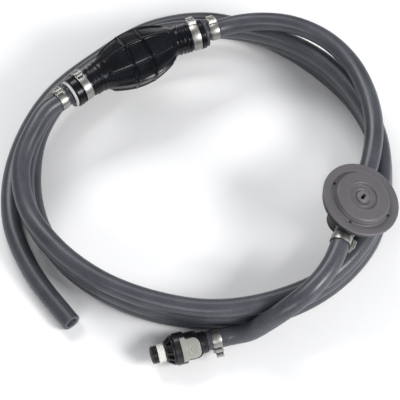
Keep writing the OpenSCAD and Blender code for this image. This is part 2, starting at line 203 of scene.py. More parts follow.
class Paint:
    """One procedural material on a Principled shader, textured in the object's own metres."""

    def __init__(self, name, rough=0.5, metal=0.0, **sockets):
        self.mat = bpy.data.materials.new(name)
        self.mat.use_nodes = True
        self.nodes, self.links = self.mat.node_tree.nodes, self.mat.node_tree.links
        self.shader = self.nodes["Principled BSDF"]
        self.shader.inputs["Roughness"].default_value = rough
        self.shader.inputs["Metallic"].default_value = metal
        for key, value in sockets.items():
            self.shader.inputs[key.replace("_", " ")].default_value = value
        self.coords = self.nodes.new("ShaderNodeTexCoord")
        self.normal = None

    def place(self, scale=(1, 1, 1), source="Object"):
        n = self.nodes.new("ShaderNodeMapping")
        n.inputs["Scale"].default_value = scale
        self.links.new(self.coords.outputs[source], n.inputs["Vector"])
        return n.outputs["Vector"]

    def noise(self, scale, detail, vector=None):
        n = self.nodes.new("ShaderNodeTexNoise")
        n.inputs["Scale"].default_value = scale
        n.inputs["Detail"].default_value = detail
        self.links.new(vector or self.place(), n.inputs["Vector"])
        return n.outputs["Fac"]

    def ramp(self, fac, stops):
        n = self.nodes.new("ShaderNodeValToRGB")
        while len(n.color_ramp.elements) < len(stops):
            n.color_ramp.elements.new(0.5)
        for e, (pos, col) in zip(n.color_ramp.elements, stops):
            e.position = pos
            e.color = (*col, 1)
        self.links.new(fac, n.inputs["Fac"])
        return n.outputs["Color"]

    def mix(self, fac, a, b, kind="MIX"):
        """Sockets 0, 6 and 7 are a colour mix's factor and its two colours."""
        n = self.nodes.new("ShaderNodeMix")
        n.data_type, n.blend_type = "RGBA", kind
        n.inputs[0].default_value = fac
        self.links.new(a, n.inputs[6])
        self.links.new(b, n.inputs[7])
        return n.outputs[2]

    def colour(self, socket):
        self.links.new(socket, self.shader.inputs["Base Color"])

    def rough(self, fac, low, high):
        n = self.nodes.new("ShaderNodeMapRange")
        n.inputs["To Min"].default_value = low
        n.inputs["To Max"].default_value = high
        self.links.new(fac, n.inputs["Value"])
        self.links.new(n.outputs["Result"], self.shader.inputs["Roughness"])

    def bump(self, height, strength, depth):
        n = self.nodes.new("ShaderNodeBump")
        n.inputs["Strength"].default_value = strength
        n.inputs["Distance"].default_value = depth * MM
        self.links.new(height, n.inputs["Height"])
        if self.normal is not None:
            self.links.new(self.normal, n.inputs["Normal"])
        self.normal = n.outputs["Normal"]
        self.links.new(self.normal, self.shader.inputs["Normal"])


def hose_paint():
    p = Paint("hose_rubber", rough=0.42, Specular_IOR_Level=0.45)
    broad = p.noise(38, 4)
    fine = p.noise(1500, 2)
    lines = p.noise(1.0, 3, vector=p.place((260, 9, 1), "UV"))
    base = p.ramp(broad, [(0.3, (0.050, 0.053, 0.063)), (0.7, (0.074, 0.078, 0.091))])
    streaks = p.ramp(lines, [(0.35, (0.68, 0.68, 0.71)), (0.7, (1.05, 1.05, 1.05))])
    dust = p.ramp(fine, [(0.35, (0.74, 0.74, 0.76)), (0.5, (1.0, 1.0, 1.0)), (0.72, (1.6, 1.57, 1.5))])
    p.colour(p.mix(1.0, p.mix(1.0, base, streaks, "MULTIPLY"), dust, "MULTIPLY"))
    p.rough(broad, 0.26, 0.42)
    p.bump(lines, 0.25, 0.08)
    p.bump(fine, 0.5, 0.06)
    p.bump(broad, 0.25, 0.5)
    return p.mat


def rubber_paint(name, dark, light, rough=(0.42, 0.6), grain=0.35, shine=0.38):
    p = Paint(name, Specular_IOR_Level=shine)
    broad, fine, mid = p.noise(60, 5), p.noise(2200, 2), p.noise(420, 3)
    p.colour(p.mix(0.35, p.ramp(broad, [(0.3, dark), (0.75, light)]),
                   p.ramp(mid, [(0.4, dark), (0.7, light)])))
    p.rough(mid, *rough)
    p.bump(mid, grain, 0.09)
    p.bump(fine, grain, 0.04)
    return p.mat


def plastic_paint(name, dark, light, rough=(0.4, 0.55), grain=0.3, size=1400):
    p = Paint(name, Specular_IOR_Level=0.45)
    broad, fine = p.noise(45, 4), p.noise(size, 2)
    p.colour(p.mix(0.4, p.ramp(broad, [(0.3, dark), (0.7, light)]),
                   p.ramp(fine, [(0.3, dark), (0.75, light)])))
    p.rough(broad, *rough)
    p.bump(fine, grain, 0.06)
    return p.mat


def steel_paint(name, tone=0.80, rough=(0.2, 0.36)):
    p = Paint(name, metal=1.0)
    bright = (tone, tone * 0.99, tone * 0.94)
    brushed = p.noise(1.0, 4, vector=p.place((30, 900, 1), "UV"))
    smear = p.noise(240, 4)
    p.colour(p.mix(0.5, p.ramp(brushed, [(0.3, (tone * 0.78, tone * 0.77, tone * 0.72)), (0.7, bright)]),
                   p.ramp(smear, [(0.25, (tone * 0.66, tone * 0.65, tone * 0.61)), (0.6, bright)])))
    p.rough(smear, *rough)
    p.bump(brushed, 0.2, 0.03)
    return p.mat


def tape_paint():
    p = Paint("thread_tape_film", rough=0.55, Specular_IOR_Level=0.4)
    folds = p.noise(1.0, 5, vector=p.place((14, 2600, 1), "UV"))
    cloud = p.noise(700, 4)
    p.colour(p.mix(0.5, p.ramp(folds, [(0.25, (0.52, 0.51, 0.46)), (0.6, (0.72, 0.71, 0.67))]),
                   p.ramp(cloud, [(0.3, (0.58, 0.57, 0.52)), (0.65, (0.74, 0.73, 0.70))])))
    p.bump(folds, 0.6, 0.12)
    return p.mat


paints = {
    "hose": hose_paint(),
    "bulb_rubber": rubber_paint("bulb_rubber", (0.003, 0.003, 0.004), (0.009, 0.010, 0.015),
                                (0.17, 0.30), 0.22, 0.24),
    "check_plastic": plastic_paint("check_flange_plastic", (0.42, 0.43, 0.42), (0.56, 0.57, 0.56)),
    "poppet_plastic": plastic_paint("acetal", (0.68, 0.68, 0.63), (0.80, 0.80, 0.75)),
    "spring_wire": steel_paint("spring_wire", 0.72),
    "clamp_steel": steel_paint("clamp_steel", 0.40, (0.32, 0.48)),
    "cover_plastic": plastic_paint("cover_plastic", (0.088, 0.083, 0.090), (0.112, 0.106, 0.113),
                                   (0.36, 0.48), 0.4, 1800),
    "button_plastic": plastic_paint("button_plastic", (0.115, 0.110, 0.116), (0.145, 0.138, 0.146),
                                    (0.36, 0.48)),
    "diaphragm_rubber": rubber_paint("diaphragm_rubber", (0.015, 0.015, 0.017), (0.028, 0.028, 0.032)),
    "plate_metal": steel_paint("plate_metal", 0.75),
    "seal_rubber": rubber_paint("seal_rubber", (0.012, 0.012, 0.013), (0.022, 0.022, 0.024)),
    "black_plastic": plastic_paint("black_plastic", (0.006, 0.006, 0.007), (0.016, 0.016, 0.019),
                                   (0.24, 0.40), 0.35, 1100),
    "release_plastic": plastic_paint("release_plastic", (0.25, 0.255, 0.225), (0.32, 0.325, 0.29),
                                     (0.42, 0.55)),
    "tape": tape_paint(),
}
housing_paint = plastic_paint("housing_plastic", (0.022, 0.020, 0.018), (0.050, 0.046, 0.041),
                              (0.5, 0.65), 0.5, 900)
# Painted shade: the inlet flange is the same check-valve plastic as the outlet flange, coloured darker to stand in
# for the shade it sits in.
painted_shade_flange = plastic_paint("painted_shade_flange_plastic", (0.030, 0.033, 0.040), (0.048, 0.052, 0.062))

# Every CAD node that stays takes its slot's material.
slot_of = {s["node"]: s["material_slot"] for s in frame["record"]["subparts"]}
for node, obj in frame["nodes"].items():
    target = obj if hasattr(obj, "data") else bpy.data.objects[obj]
    target.data.materials.clear()
    target.data.materials.append(paints[slot_of[node]])

# ---------------------------------------------------------------- camera, light, floor

distance, tilt = 1.3533, math.radians(60)
centre_x, centre_y = -0.016, 0.004
cam_data = bpy.data.cameras.new("camera")
cam_data.lens, cam_data.sensor_width = 140, 36
camera = bpy.data.objects.new("camera", cam_data)
camera.location = (centre_x, centre_y - distance * math.cos(tilt), distance * math.sin(tilt))
camera.rotation_euler = (math.pi / 2 - tilt, 0, 0)
bpy.context.scene.collection.objects.link(camera)
bpy.context.scene.camera = camera
bpy.context.scene.view_settings.view_transform = "Standard"

world = bpy.data.worlds.new("studio")
world.use_nodes = True
world.node_tree.nodes["Background"].inputs["Color"].default_value = (0.93, 0.95, 1.0, 1)
world.node_tree.nodes["Background"].inputs["Strength"].default_value = 0.30
bpy.context.scene.world = world


def softbox(name, pos, size, power, target=(0, 0, 0)):
    light = bpy.data.lights.new(name, "AREA")
    light.shape, light.size, light.size_y, light.energy = "RECTANGLE", size[0], size[1], power
    obj = bpy.data.objects.new(name, light)
    obj.location = pos
    obj.rotation_euler = (Vector(target) - Vector(pos)).to_track_quat("-Z", "Y").to_euler()
    bpy.context.scene.collection.objects.link(obj)


softbox("key", (-0.5, 0.9, 1.2), (0.9, 0.6), 13)
softbox("fill", (1.0, -0.6, 0.9), (0.6, 0.4), 18)
softbox("front", (-0.4, -1.3, 0.9), (1.2, 0.3), 8)

floor_mesh = bpy.data.meshes.new("floor")
floor_mesh.from_pydata([(x, y, -0.0002) for x, y in ((-3, -3), (3, -3), (3, 3), (-3, 3))], [], [(0, 1, 2, 3)])
floor = bpy.data.objects.new("floor", floor_mesh)
bpy.context.scene.collection.objects.link(floor)
floor_paint = Paint("floor_white", rough=0.7)
floor_paint.shader.inputs["Base Color"].default_value = (0.93, 0.93, 0.93, 1)
floor_mesh.materials.append(floor_paint.mat)

# ---------------------------------------------------------------- the three hoses

BULB = Vector((-71.5, 115.5, 55))
AXIS, OUT, IN, FLOW = heading(29.5), heading(218), heading(20), heading(70, -5.9)
outlet_root, inlet_root = BULB - 33 * AXIS, BULB + 33 * AXIS
outlet_face, inlet_face = outlet_root + 34 * OUT, inlet_root + 31.5 * IN
outlet_end, inlet_end = outlet_face + 4.5 * OUT, inlet_face + 4.5 * IN
VALVE = Vector((110, -40, 62))
valve_in, valve_out = VALVE + 22 * FLOW, VALVE - 22 * FLOW
COUPLER_TURN, COUPLER_PITCH = 15.5, 0.5
COUPLER_AXIS = heading(COUPLER_TURN, COUPLER_PITCH)
coupler_end = Vector((-10.8, -138.2, 15.4))
coupler_tip = coupler_end - 46.8 * COUPLER_AXIS

turn_top = [
    (-162, -24, 41), (-138, -61, 41), (-100, -93, 41), (-54, -113, 41), (-4, -121, 41),
    (46, -112.5, 41), (90, -90.5, 41), (122, -53, 41), (137, -6, 41), (137, 44, 41),
    (120, 88, 41), (89, 126, 41), (44, 152, 39.5), (-8, 162, 36), (-60, 154, 36),
    (-102, 127, 36.3), (-137, 91, 36.6), (-157, 54, 35), (-166, 18, 28)]
turn_middle = [
    (-160, -24, 24.5), (-136, -61, 24.5), (-99, -92, 24.5), (-53, -112, 24.5), (-4, -118, 24.5),
    (48, -111, 24.5), (92, -87, 24.5), (123, -50, 24.5), (139, -4, 24.5), (140, 46, 24.5),
    (123, 92, 24.5), (92, 130, 24.5), (48, 158, 23.5), (-6, 173, 19), (-64, 163, 19),
    (-104, 134, 19.5), (-141, 94, 20), (-158, 56, 18), (-162, 18, 10)]
turn_bottom = [
    (-154, -22, 8), (-132, -60, 8), (-96, -90, 8), (-52, -109, 8), (-4, -115, 8),
    (49, -108, 8), (94, -83, 8), (126, -46, 8), (141, -2, 8), (142, 48, 8),
    (126, 94, 8), (96, 132, 8), (54, 165, 8), (-2, 190, 8), (-59, 182, 8),
    (-109, 147, 8), (-151, 104, 8), (-171, 62, 8), (-180, 18, 8)]
free_end, free_last = Vector((-122, -118, 8)), Vector((-142, -93, 8))
free_axis = (free_end - free_last).normalized()
engine_route = [outlet_end, outlet_end + 16 * OUT, (-158, 42, 52.5), (-167, 16, 47)] + turn_top + turn_middle
engine_route += turn_bottom + [(-177, -24, 8), (-162, -62, 8), free_last, free_end - 19 * free_axis, free_end]
middle_route = [inlet_end, inlet_end + 16 * IN, (34, 154, 56.5), (64, 150, 58), (93, 135, 58), (114, 111, 58),
                (127, 80, 58), (132, 46, 57.6), (129, 18, 58.2), valve_in + 16 * FLOW, valve_in]
tank_route = [valve_out, valve_out - 16 * FLOW, (90.7, -91, 66.4), (71.1, -116.3, 63.8), (55.7, -126.2, 56.3),
              (36.4, -132.3, 38.2), (23.7, -133.1, 23.5), coupler_end + 16 * COUPLER_AXIS, coupler_end]


def smooth_path(route, step=3.0):
    """One smooth curve through the route's points, straight in its first and last stretch."""
    pts = [Vector(p) for p in route]
    lengths = [(b - a).length for a, b in zip(pts, pts[1:])]
    dirs = [(b - a).normalized() for a, b in zip(pts, pts[1:])]
    tang = [dirs[0]]
    for i in range(len(dirs) - 1):
        tang.append((dirs[i] * lengths[i + 1] + dirs[i + 1] * lengths[i]) / (lengths[i] + lengths[i + 1]))
    tang.append(dirs[-1])
    tang[1], tang[-2] = dirs[0], dirs[-1]
    out = []
    for i, size in enumerate(lengths):
        n = max(2, round(size / step))
        for k in range(n):
            t = k / n
            out.append(pts[i] * (2 * t**3 - 3 * t * t + 1) + tang[i] * size * (t**3 - 2 * t * t + t)
                       + pts[i + 1] * (3 * t * t - 2 * t**3) + tang[i + 1] * size * (t**3 - t * t))
    out.append(pts[-1])
    return out


HOSE_R, BORE_R, END_R = 8.0, 4.7, 7.7
FINE_STEP, FINE_RINGS, COARSE_STEP = 0.65, 30, 3.0


def hose(name, route, nodes, dents):
    """A hollow-ended hose. dents are the distances along it at which a clamp grips."""
    path = smooth_path(route)
    run = [0.0]
    for a, b in zip(path, path[1:]):
        run.append(run[-1] + (b - a).length)
    total = run[-1]
    sides, up = 40, Vector((0, 0, 1))

    def at(s):
        s = min(max(s, 0.0), total)
        i = min(bisect_right(run, s) - 1, len(run) - 2)
        return path[i].lerp(path[i + 1], (s - run[i]) / (run[i + 1] - run[i]))

    def ring(s, r):
        ahead, behind = at(s + 1.5), at(s - 1.5)
        t = (ahead - behind).normalized()
        side = up.cross(t).normalized()
        top = t.cross(side)
        c = at(s)
        return [c + r * (math.cos(TURN * j / sides) * side + math.sin(TURN * j / sides) * top)
                for j in range(sides)]

    def radius(s):
        grip = sum(0.22 * smoothstep((4.6 - abs(s - d)) / 1.6) for d in dents)
        swell = sum(0.10 * bump(s - d - w, 3.0) for d in dents for w in (-5.6, 5.6))
        return HOSE_R - grip + swell

    # Rings are close together near the two ends, where the clamps grip.
    near_end = [0.35 + FINE_STEP * i for i in range(FINE_RINGS)]
    marks = near_end + [20 + COARSE_STEP * i for i in range(int((total - 40) / COARSE_STEP) + 1)]
    marks += [total - m for m in near_end]
    marks = sorted(m for m in marks if 0.3 < m < total - 0.3)
    rings = [ring(14, BORE_R), ring(0.4, BORE_R), ring(0, 5.0), ring(0, END_R)]
    rings += [ring(s, radius(s)) for s in marks]
    rings += [ring(total, END_R), ring(total, 5.0), ring(total - 0.4, BORE_R), ring(total - 16, BORE_R)]
    along = [14 * MM, 0, 0, 0] + [s * MM for s in marks] + [total * MM] * 4
    shape = Shape().rings(rings, (True, True), along=along)
    obj = shape.make(name, paints["hose"], BODY, "hose", nodes, sharp=50)
    return obj, total


engine, engine_length = hose("engine_hose_rubber", engine_route, ["engine_hose"], [6])
middle, middle_length = hose("middle_hose_rubber", middle_route, ["middle_hose"], [5])
tank, tank_length = hose("tank_hose_rubber", tank_route, ["tank_hose"], [12])
print("hose lengths", round(engine_length), round(middle_length), round(tank_length))

# ---------------------------------------------------------------- the squeeze bulb

OUTLET_LIP, INLET_LIP = 67.0, 64.5
RIB_TURN, RIBS, HOOPS = -47, 8, (-10, 7)
RIB_RISE, NECK_R, NECK_BORE = 1.9, 12.0, 10.05


def bulb_centreline(step):
    """Points and directions from the outlet lip (s = -67) to the inlet lip (s = 64.5)."""
    def turn_at(s):
        return 29.5 + (38 - 29.5) * smoothstep((-33 - s) / 12 + 0.5) - 9.5 * smoothstep((s - 33) / 12 + 0.5)
    line = {0.0: (BULB.copy(), heading(29.5))}
    for sign, end in ((-1, OUTLET_LIP), (1, INLET_LIP)):
        pos, s = BULB.copy(), 0.0
        while s < end - 1e-6:
            pos = pos + sign * step * heading(turn_at(sign * (s + step / 2)))
            s += step
            line[round(sign * s, 3)] = (pos.copy(), heading(turn_at(sign * s)))
    return [(s, *line[s]) for s in sorted(line)]


def bulb_radius(s, angle):
    """Skin of the bulb: body, necks, folds, lips and moulded ribs."""
    neck = NECK_R + (0.75 * smoothstep((s + 50) / 4) if s < 0 else 0.25 * smoothstep((50 - s) / 4))
    body = 0.0
    if abs(s) < 41:
        half, power = (37.5, 0.74) if s > 0 else (41.0, 1.0)
        body = 11.2 + 12.4 * max(math.cos(math.radians(90 * min(abs(s) / half, 1))), 0.0) ** power
        between_ribs = 0.5 - 0.5 * math.cos(RIBS * (angle - math.radians(RIB_TURN)))
        body -= 0.55 * between_ribs * smoothstep((36 - abs(s)) / 12)
    r = neck + 1.2 * math.log(1 + math.exp((body - neck) / 1.2)) if body - neck < 20 else body
    if s < -34:
        for i, (mid, size) in enumerate(((-38.2, 0.75), (-41.8, 0.95), (-45.6, 0.8), (-48.6, 0.45))):
            wave = s - mid - 0.7 * math.sin(angle + 2.1 * i)
            r += size * bump(wave, 1.7) * (0.75 + 0.25 * math.sin(3 * angle + i))
    to_out, to_in = s + OUTLET_LIP, INLET_LIP - s
    if to_out < 8:
        r = max(r, NECK_R + 1.35 * smoothstep(to_out / 0.8) * smoothstep((7.2 - to_out) / 0.7))
    if to_in < 6:
        r = max(r, NECK_R + 1.35 * smoothstep(to_in / 0.8) * smoothstep((5.1 - to_in) / 0.6))
    fold = 0.0
    for i in range(4):
        fold = max(fold, bump(s - (40.2 + 3.3 * i) - 0.6 * math.sin(angle * 2 + i), 1.75))
    r = max(r, 11.9 + 1.8 * fold * (0.86 + 0.14 * math.sin(3 * angle + 1.0)))
    near = smoothstep((34.5 - abs(s)) / 6)
    rib = 0.0
    for k in range(RIBS):
        a = (angle - math.radians(RIB_TURN + 360 / RIBS * k) + math.pi) % TURN - math.pi
        rib = max(rib, bump(a * r, 1.4) - 0.4 * bump(abs(a * r) - 2.2, 0.9))
        rib = min(rib, -0.4 * bump(abs(a * r) - 2.2, 0.9)) if 1.4 < abs(a * r) < 3.1 else rib
    hoop = max(bump(s - c, 1.2) for c in HOOPS) - 0.3 * max(bump(abs(s - c) - 2.0, 0.8) for c in HOOPS)
    rise = max(rib * near, hoop) if max(rib, hoop) > 0 else min(rib * near, hoop)
    return r + RIB_RISE * rise + 0.35 * max(rib, 0) * max(hoop, 0) * near


def bulb():
    """The bulb's skin, ring by ring along its bent centreline."""
    sides = 240
    line = bulb_centreline(0.5)
    up = Vector((0, 0, 1))

    def ring(pos, direction, radius_of):
        side = up.cross(direction).normalized()
        out = []
        for j in range(sides):
            a = TURN * j / sides
            out.append(pos + radius_of(a) * (math.cos(a) * side + math.sin(a) * up))
        return out

    def skin(s, pos, direction):
        def radius_of(a):
            q = Vector((s * 0.045, math.cos(a) * 1.1, math.sin(a) * 1.1))
            return bulb_radius(s, a) + 0.22 * noise.noise(q) * smoothstep((40 - abs(s)) / 10)
        return ring(pos, direction, radius_of)

    def bore(pos, direction):
        return ring(pos, direction, lambda a: NECK_BORE)

    def lip(pos, direction):
        return ring(pos, direction, lambda a: NECK_R)

    (_, start, start_way), (_, end, end_way) = line[0], line[-1]
    rings = [bore(start + 3.0 * start_way, start_way), bore(start, start_way), lip(start, start_way)]
    rings += [skin(s, pos, direction) for s, pos, direction in line[1:-1]]
    rings += [lip(end, end_way), bore(end, end_way), bore(end - 3.0 * end_way, end_way)]
    Shape().rings(rings, (True, True)).make(
        "bulb_skin", paints["bulb_rubber"], BODY, "bulb_rubber", ["bulb_shell"], 60)


bulb()


def check_flange(face, direction_turn):
    """A check valve's flange with its rounded rim, its barrel in the neck and its stem in the hose."""
    outline = rounded([
        (-18, 9.9), (0.05, 9.9), (0.05, 12.1), (2.4, 12.1), (2.4, 10.9, 0.4), (1.2, 10.6, 0.3),
        (1.2, 5.2, 0.3), (4.6, 4.7), (17.5, 4.6), (17.5, 3.0), (-18, 3.0)], 0.4, 3)
    return Shape().lathe(outline, aim(face, direction_turn), 72, closed=True)


# The inlet flange takes the darker paint, which is painted shade.
for flange_name, face, turned, node, paint in (
        ("outlet_flange", outlet_face, 218, "outlet_check_body", paints["check_plastic"]),
        ("inlet_flange", inlet_face, 20, "inlet_check_body", painted_shade_flange)):
    check_flange(face, turned).make(flange_name, paint, BODY, "check_plastic", [node], 35)
    collar = rounded([(1.3, 4.9), (1.3, 8.9), (3.4, 8.5), (4.4, 8.0), (4.4, 4.9)], 0.3, 3, True)
    Shape().lathe(collar, aim(face, turned), 64, closed=True).make(
        flange_name + "_collar", paints["hose"], BODY, "hose")

# ---------------------------------------------------------------- band clamps

def band(shape, place, inner):
    """A strip wound twice, the outer wind a little to one side of the inner."""
    for k, (shift, start) in enumerate(((-0.55, 0.0), (0.55, 0.55))):
        lo, hi = inner + start, inner + start + 0.48
        left, right = shift - 3.15, shift + 3.15
        outline = rounded([(left, lo), (left, hi), (right, hi), (right, lo)], 0.16, 2, True)
        shape.lathe(outline, place, 96, closed=True)
    return shape


def ribbon(shape, place, line, width, thick):
    """A bent strip: line is its (y, z) course."""
    pts = [Vector(p) for p in line]
    rows_a, rows_b = [], []
    for i, p in enumerate(pts):
        t = (pts[min(i + 1, len(pts) - 1)] - pts[max(i - 1, 0)]).normalized()
        n = Vector((-t[1], t[0])) * thick / 2
        rows_a.append([place @ Vector((x, p[0] + n[0], p[1] + n[1])) for x in (-width / 2, 0, width / 2)])
        rows_b.append([place @ Vector((x, p[0] - n[0], p[1] - n[1])) for x in (-width / 2, 0, width / 2)])
    return shape.patch(rows_a, rows_b)


def buckle(shape, place, inner, curled=False):
    """A folded buckle with a punched dimple, two ears and the strip's tail, bent back or curled outward."""
    base = inner + 1.08
    n, half, tall = 34, 3.95, 2.15
    top, bottom = [], []
    for i in range(n + 1):
        x = -half + 2 * half * i / n
        row, low = [], []
        for j in range(n + 1):
            y = -half + 2 * half * j / n
            edge = min(half - abs(x), half - abs(y))
            z = base + tall - 0.55 * (1 - min(edge / 0.7, 1.0)) ** 2
            d = math.hypot(x, y)
            z += 0.25 * bump(d - 2.2, 0.7) - 2.0 * smoothstep((1.7 - d) / 0.5)
            z -= 0.25 * bump(abs(y) - 3.0, 0.35)
            row.append(place @ Vector((x, y, z)))
            low.append(place @ Vector((x, y, math.sqrt((inner + 0.9) ** 2 - y * y))))
        top.append(row)
        bottom.append(low)
    shape.patch(top, bottom)
    for side in (-1, 1):
        ear = [(side * 2.6, base + 2.1), (side * 3.6, base + 2.35), (side * 4.35, base + 1.7),
               (side * 4.45, base + 0.4), (side * 4.9, base - 0.9)]
        ribbon(shape, place, ear[::side], 6.6 if side < 0 else 5.6, 0.5)
    if curled:
        tail = [(2.4, 1.9), (3.4, 2.7), (4.6, 3.0), (5.6, 3.6), (5.7, 4.7), (4.9, 5.3), (3.9, 5.0), (3.6, 4.2)]
    else:
        tail = [(3.2, 0.85), (4.6, 0.7), (5.9, 0.45), (7.0, 0.7),
                (7.45, 1.5), (7.0, 2.25), (6.1, 2.35), (5.5, 1.85)]
    tail = [(y, base + z) for y, z in tail]
    return ribbon(shape, place, tail, 6.1, 0.5)


# Each clamp: its middle, the turn, pitch and roll of its axis, and whether the buckle's tail is curled.
hose_clamps = [
    (outlet_end + 6 * OUT, 218, 0, 35, False), (inlet_end + 5 * IN, 20, 0, -35, False),
    (valve_in + 12 * FLOW, 70, -5.9, 110, False), (valve_out - 12 * FLOW, 250, 5.9, -110, False),
    (coupler_end + 8 * COUPLER_AXIS, COUPLER_TURN, COUPLER_PITCH, 120, True)]
bulb_clamps = [(outlet_face - 12 * OUT, 218, 0, 35, False), (inlet_face - 8.8 * IN, 20, 0, -35, False)]
for kind, clamps, inner in (("hose", hose_clamps, 7.95), ("bulb", bulb_clamps, NECK_R)):
    bands, buckles = Shape(), Shape()
    for *spot, curled in clamps:
        band(bands, aim(*spot), inner)
        buckle(buckles, aim(*spot), inner, curled)
    bands.make(kind + "_bands", paints["clamp_steel"], BODY, "clamp_steel", [kind + "_clamp_bands"], 30)
    buckles.make(kind + "_buckles", paints["clamp_steel"], BODY, "clamp_steel", [kind + "_clamp_buckles"], 34)

# ---------------------------------------------------------------- the demand valve

valve_place = Matrix.Translation(VALVE) @ turn(-20, "Z") @ turn(-5.9, "X") @ turn(16.7, "Y")


NOTCH_R, NOTCH_FLOOR = 25.0, 16
BUTTON_R, BUTTON_TOP, BUTTON_FOOT, SLOT_DEPTH = 5.62, 21.45, 14.2, 6.0


def cover():
    """The round cover, turned from its outline, with four notches at the foot of its middle."""
    outline = rounded([
        (18.5, 5.85, 0.1), (18.5, 18.2, 1), (14.2, 21.6, 1), (13.1, 30.6, 0.4), (14.2, 31.6, 0.5),
        (15.2, 33.2, 0.5), (16.85, 33.2, 0.8), (17.2, 31.6, 1.0), (16.9, 27.2, 0.8), (16.3, 25.6, 0.6),
        (16.6, 24.5, 0.4), (18.9, 23.9, 0.5), (19.3, 23.5, 0.3), (21.2, 22.9, 0.6), (21.95, 21.9, 0.9),
        (22.25, 14.4, 0.8), (22.45, 13.0, 0.4), (22.1, 12.0, 0.4), (20.3, 11.4, 0.4), (19.9, 9.3, 0.3),
        (20.25, 8.6, 0.3), (20.25, 7.6, 0.3), (19.8, 7.0, 0.2), (19.8, 5.85, 0.15)], 0.4, 4, True)
    n = 180
    rings = []
    for z, r in outline:
        ring = []
        for j in range(n):
            a = TURN * j / n
            cut = max(bump((a - math.radians(-5 + 90 * k) + math.pi) % TURN - math.pi, 0.06) for k in range(4))
            deep = 3.2 if -2.0 < a - math.radians(265) < 2.0 and r > 20 else 1.9
            dip = deep * min(cut * 2.4, 1.0) * bump(r - NOTCH_R, 1.5) if z > NOTCH_FLOOR else 0.0
            ring.append(valve_place @ Vector((r * math.cos(a), r * math.sin(a), z - dip)))
        rings.append(ring)
    Shape().rings(rings, closed=True, along=[p[1] * MM for p in outline]).make(
        "cover_skin", paints["cover_plastic"], BODY, "cover_plastic", ["valve_cover"], 40)


def button():
    """The override button: a domed disc with a slot across it."""
    n, m = 46, 120
    turned = valve_place @ turn(-12, "Z")
    rings = []
    for i in range(n + 1):
        r = BUTTON_R * i / n
        ring = []
        for j in range(m):
            a = TURN * j / m
            x, y = r * math.cos(a), r * math.sin(a)
            z = BUTTON_TOP - 0.25 * (r / BUTTON_R) ** 2 - 0.45 * smoothstep((r - 5.0) / 0.6)
            z -= 0.22 * bump(r - 3.9, 0.5)
            z -= SLOT_DEPTH * smoothstep((1.3 - abs(x)) / 0.2) * smoothstep((2.95 - abs(y)) / 0.25)
            ring.append(turned @ Vector((x, y, z)))
        rings.append(ring)
    for r in (BUTTON_R, 0.01):
        rings.append([turned @ Vector((r * math.cos(TURN * j / m), r * math.sin(TURN * j / m), BUTTON_FOOT))
                      for j in range(m)])
    Shape().rings(rings).make(
        "button_skin", paints["button_plastic"], "demand_stem", "button_plastic", ["override_button"], 42)


def housing():
    """Lower housing: bowl, sump and the two barbed spouts, each a closed skin."""
    shape = Shape()
    bowl = [
        (-8, 5.2, 0), (-8, 15.4, 0), (-7.2, 17, 1), (1.6, 17, 1.5), (8.2, 19.4, 1.5), (9.2, 24, 1),
        (9.5, 31.2, 0.4), (11.6, 31.2, 0.3), (11.6, 24.6, 0.3), (10.2, 24.0, 0.5), (9.6, 17.6, 0.6),
        (5.0, 15.5, 0.5), (3.4, 14.0, 0.4), (3.4, 3.2, 0.2), (0.5, 3.2, 0.1), (0.5, 5.2, 0)]
    shape.lathe(rounded(bowl, 0.5, 3, True), valve_place, 120, axis="Z", closed=True)
    sump = [
        (-9, 6.0, 0), (-9, 9.9, 0.2), (-26, 10.0, 0.3), (-26, 11.7, 0.8), (-25.2, 12.8, 0.8),
        (-23.4, 13.0, 0.3), (-23.2, 12.5, 0.2), (-22.6, 12.5, 0.2), (-22.4, 13.0, 0.3), (-4, 13.0, 0.5),
        (-4, 6.0, 0)]
    sump_place = valve_place @ Matrix.Translation((-1, 0, 0))
    shape.lathe(rounded(sump, 0.5, 3, True), sump_place, 96, axis="Z", closed=True)
    spout = rounded([
        (14, 2.9, 0), (14, 7.4, 0), (20.6, 7.0, 0.5), (21.4, 5.4, 0.3), (21.6, 4.3, 0.2), (23, 4.3, 0.2),
        (23.4, 4.7, 0.1), (26.4, 4.2, 0.1), (27.4, 4.7, 0.1), (30.4, 4.2, 0.1), (31.4, 4.7, 0.1),
        (35.2, 4.1, 0.3), (35.4, 2.9, 0)], 0.2, 2, True)
    for side in (90, 270):
        shape.lathe(spout, valve_place @ turn(side, "Z"), 64, closed=True)
    shape.make("housing_skin", housing_paint, BODY, "black_plastic", ["valve_body"], 38)


cover()
button()
housing()

# ---------------------------------------------------------------- the coupler and its fitting

coupler_place = aim(coupler_tip, COUPLER_TURN, COUPLER_PITCH)
BUTTON_ROLL = -50
BARE_THREAD, THREAD_STEP, FINS = 5.2, 1.32, 12
TAPE_START, TAPE_END, TAPE_R, TAPE_BORE = 5.55, 11.3, 7.62, 7.45


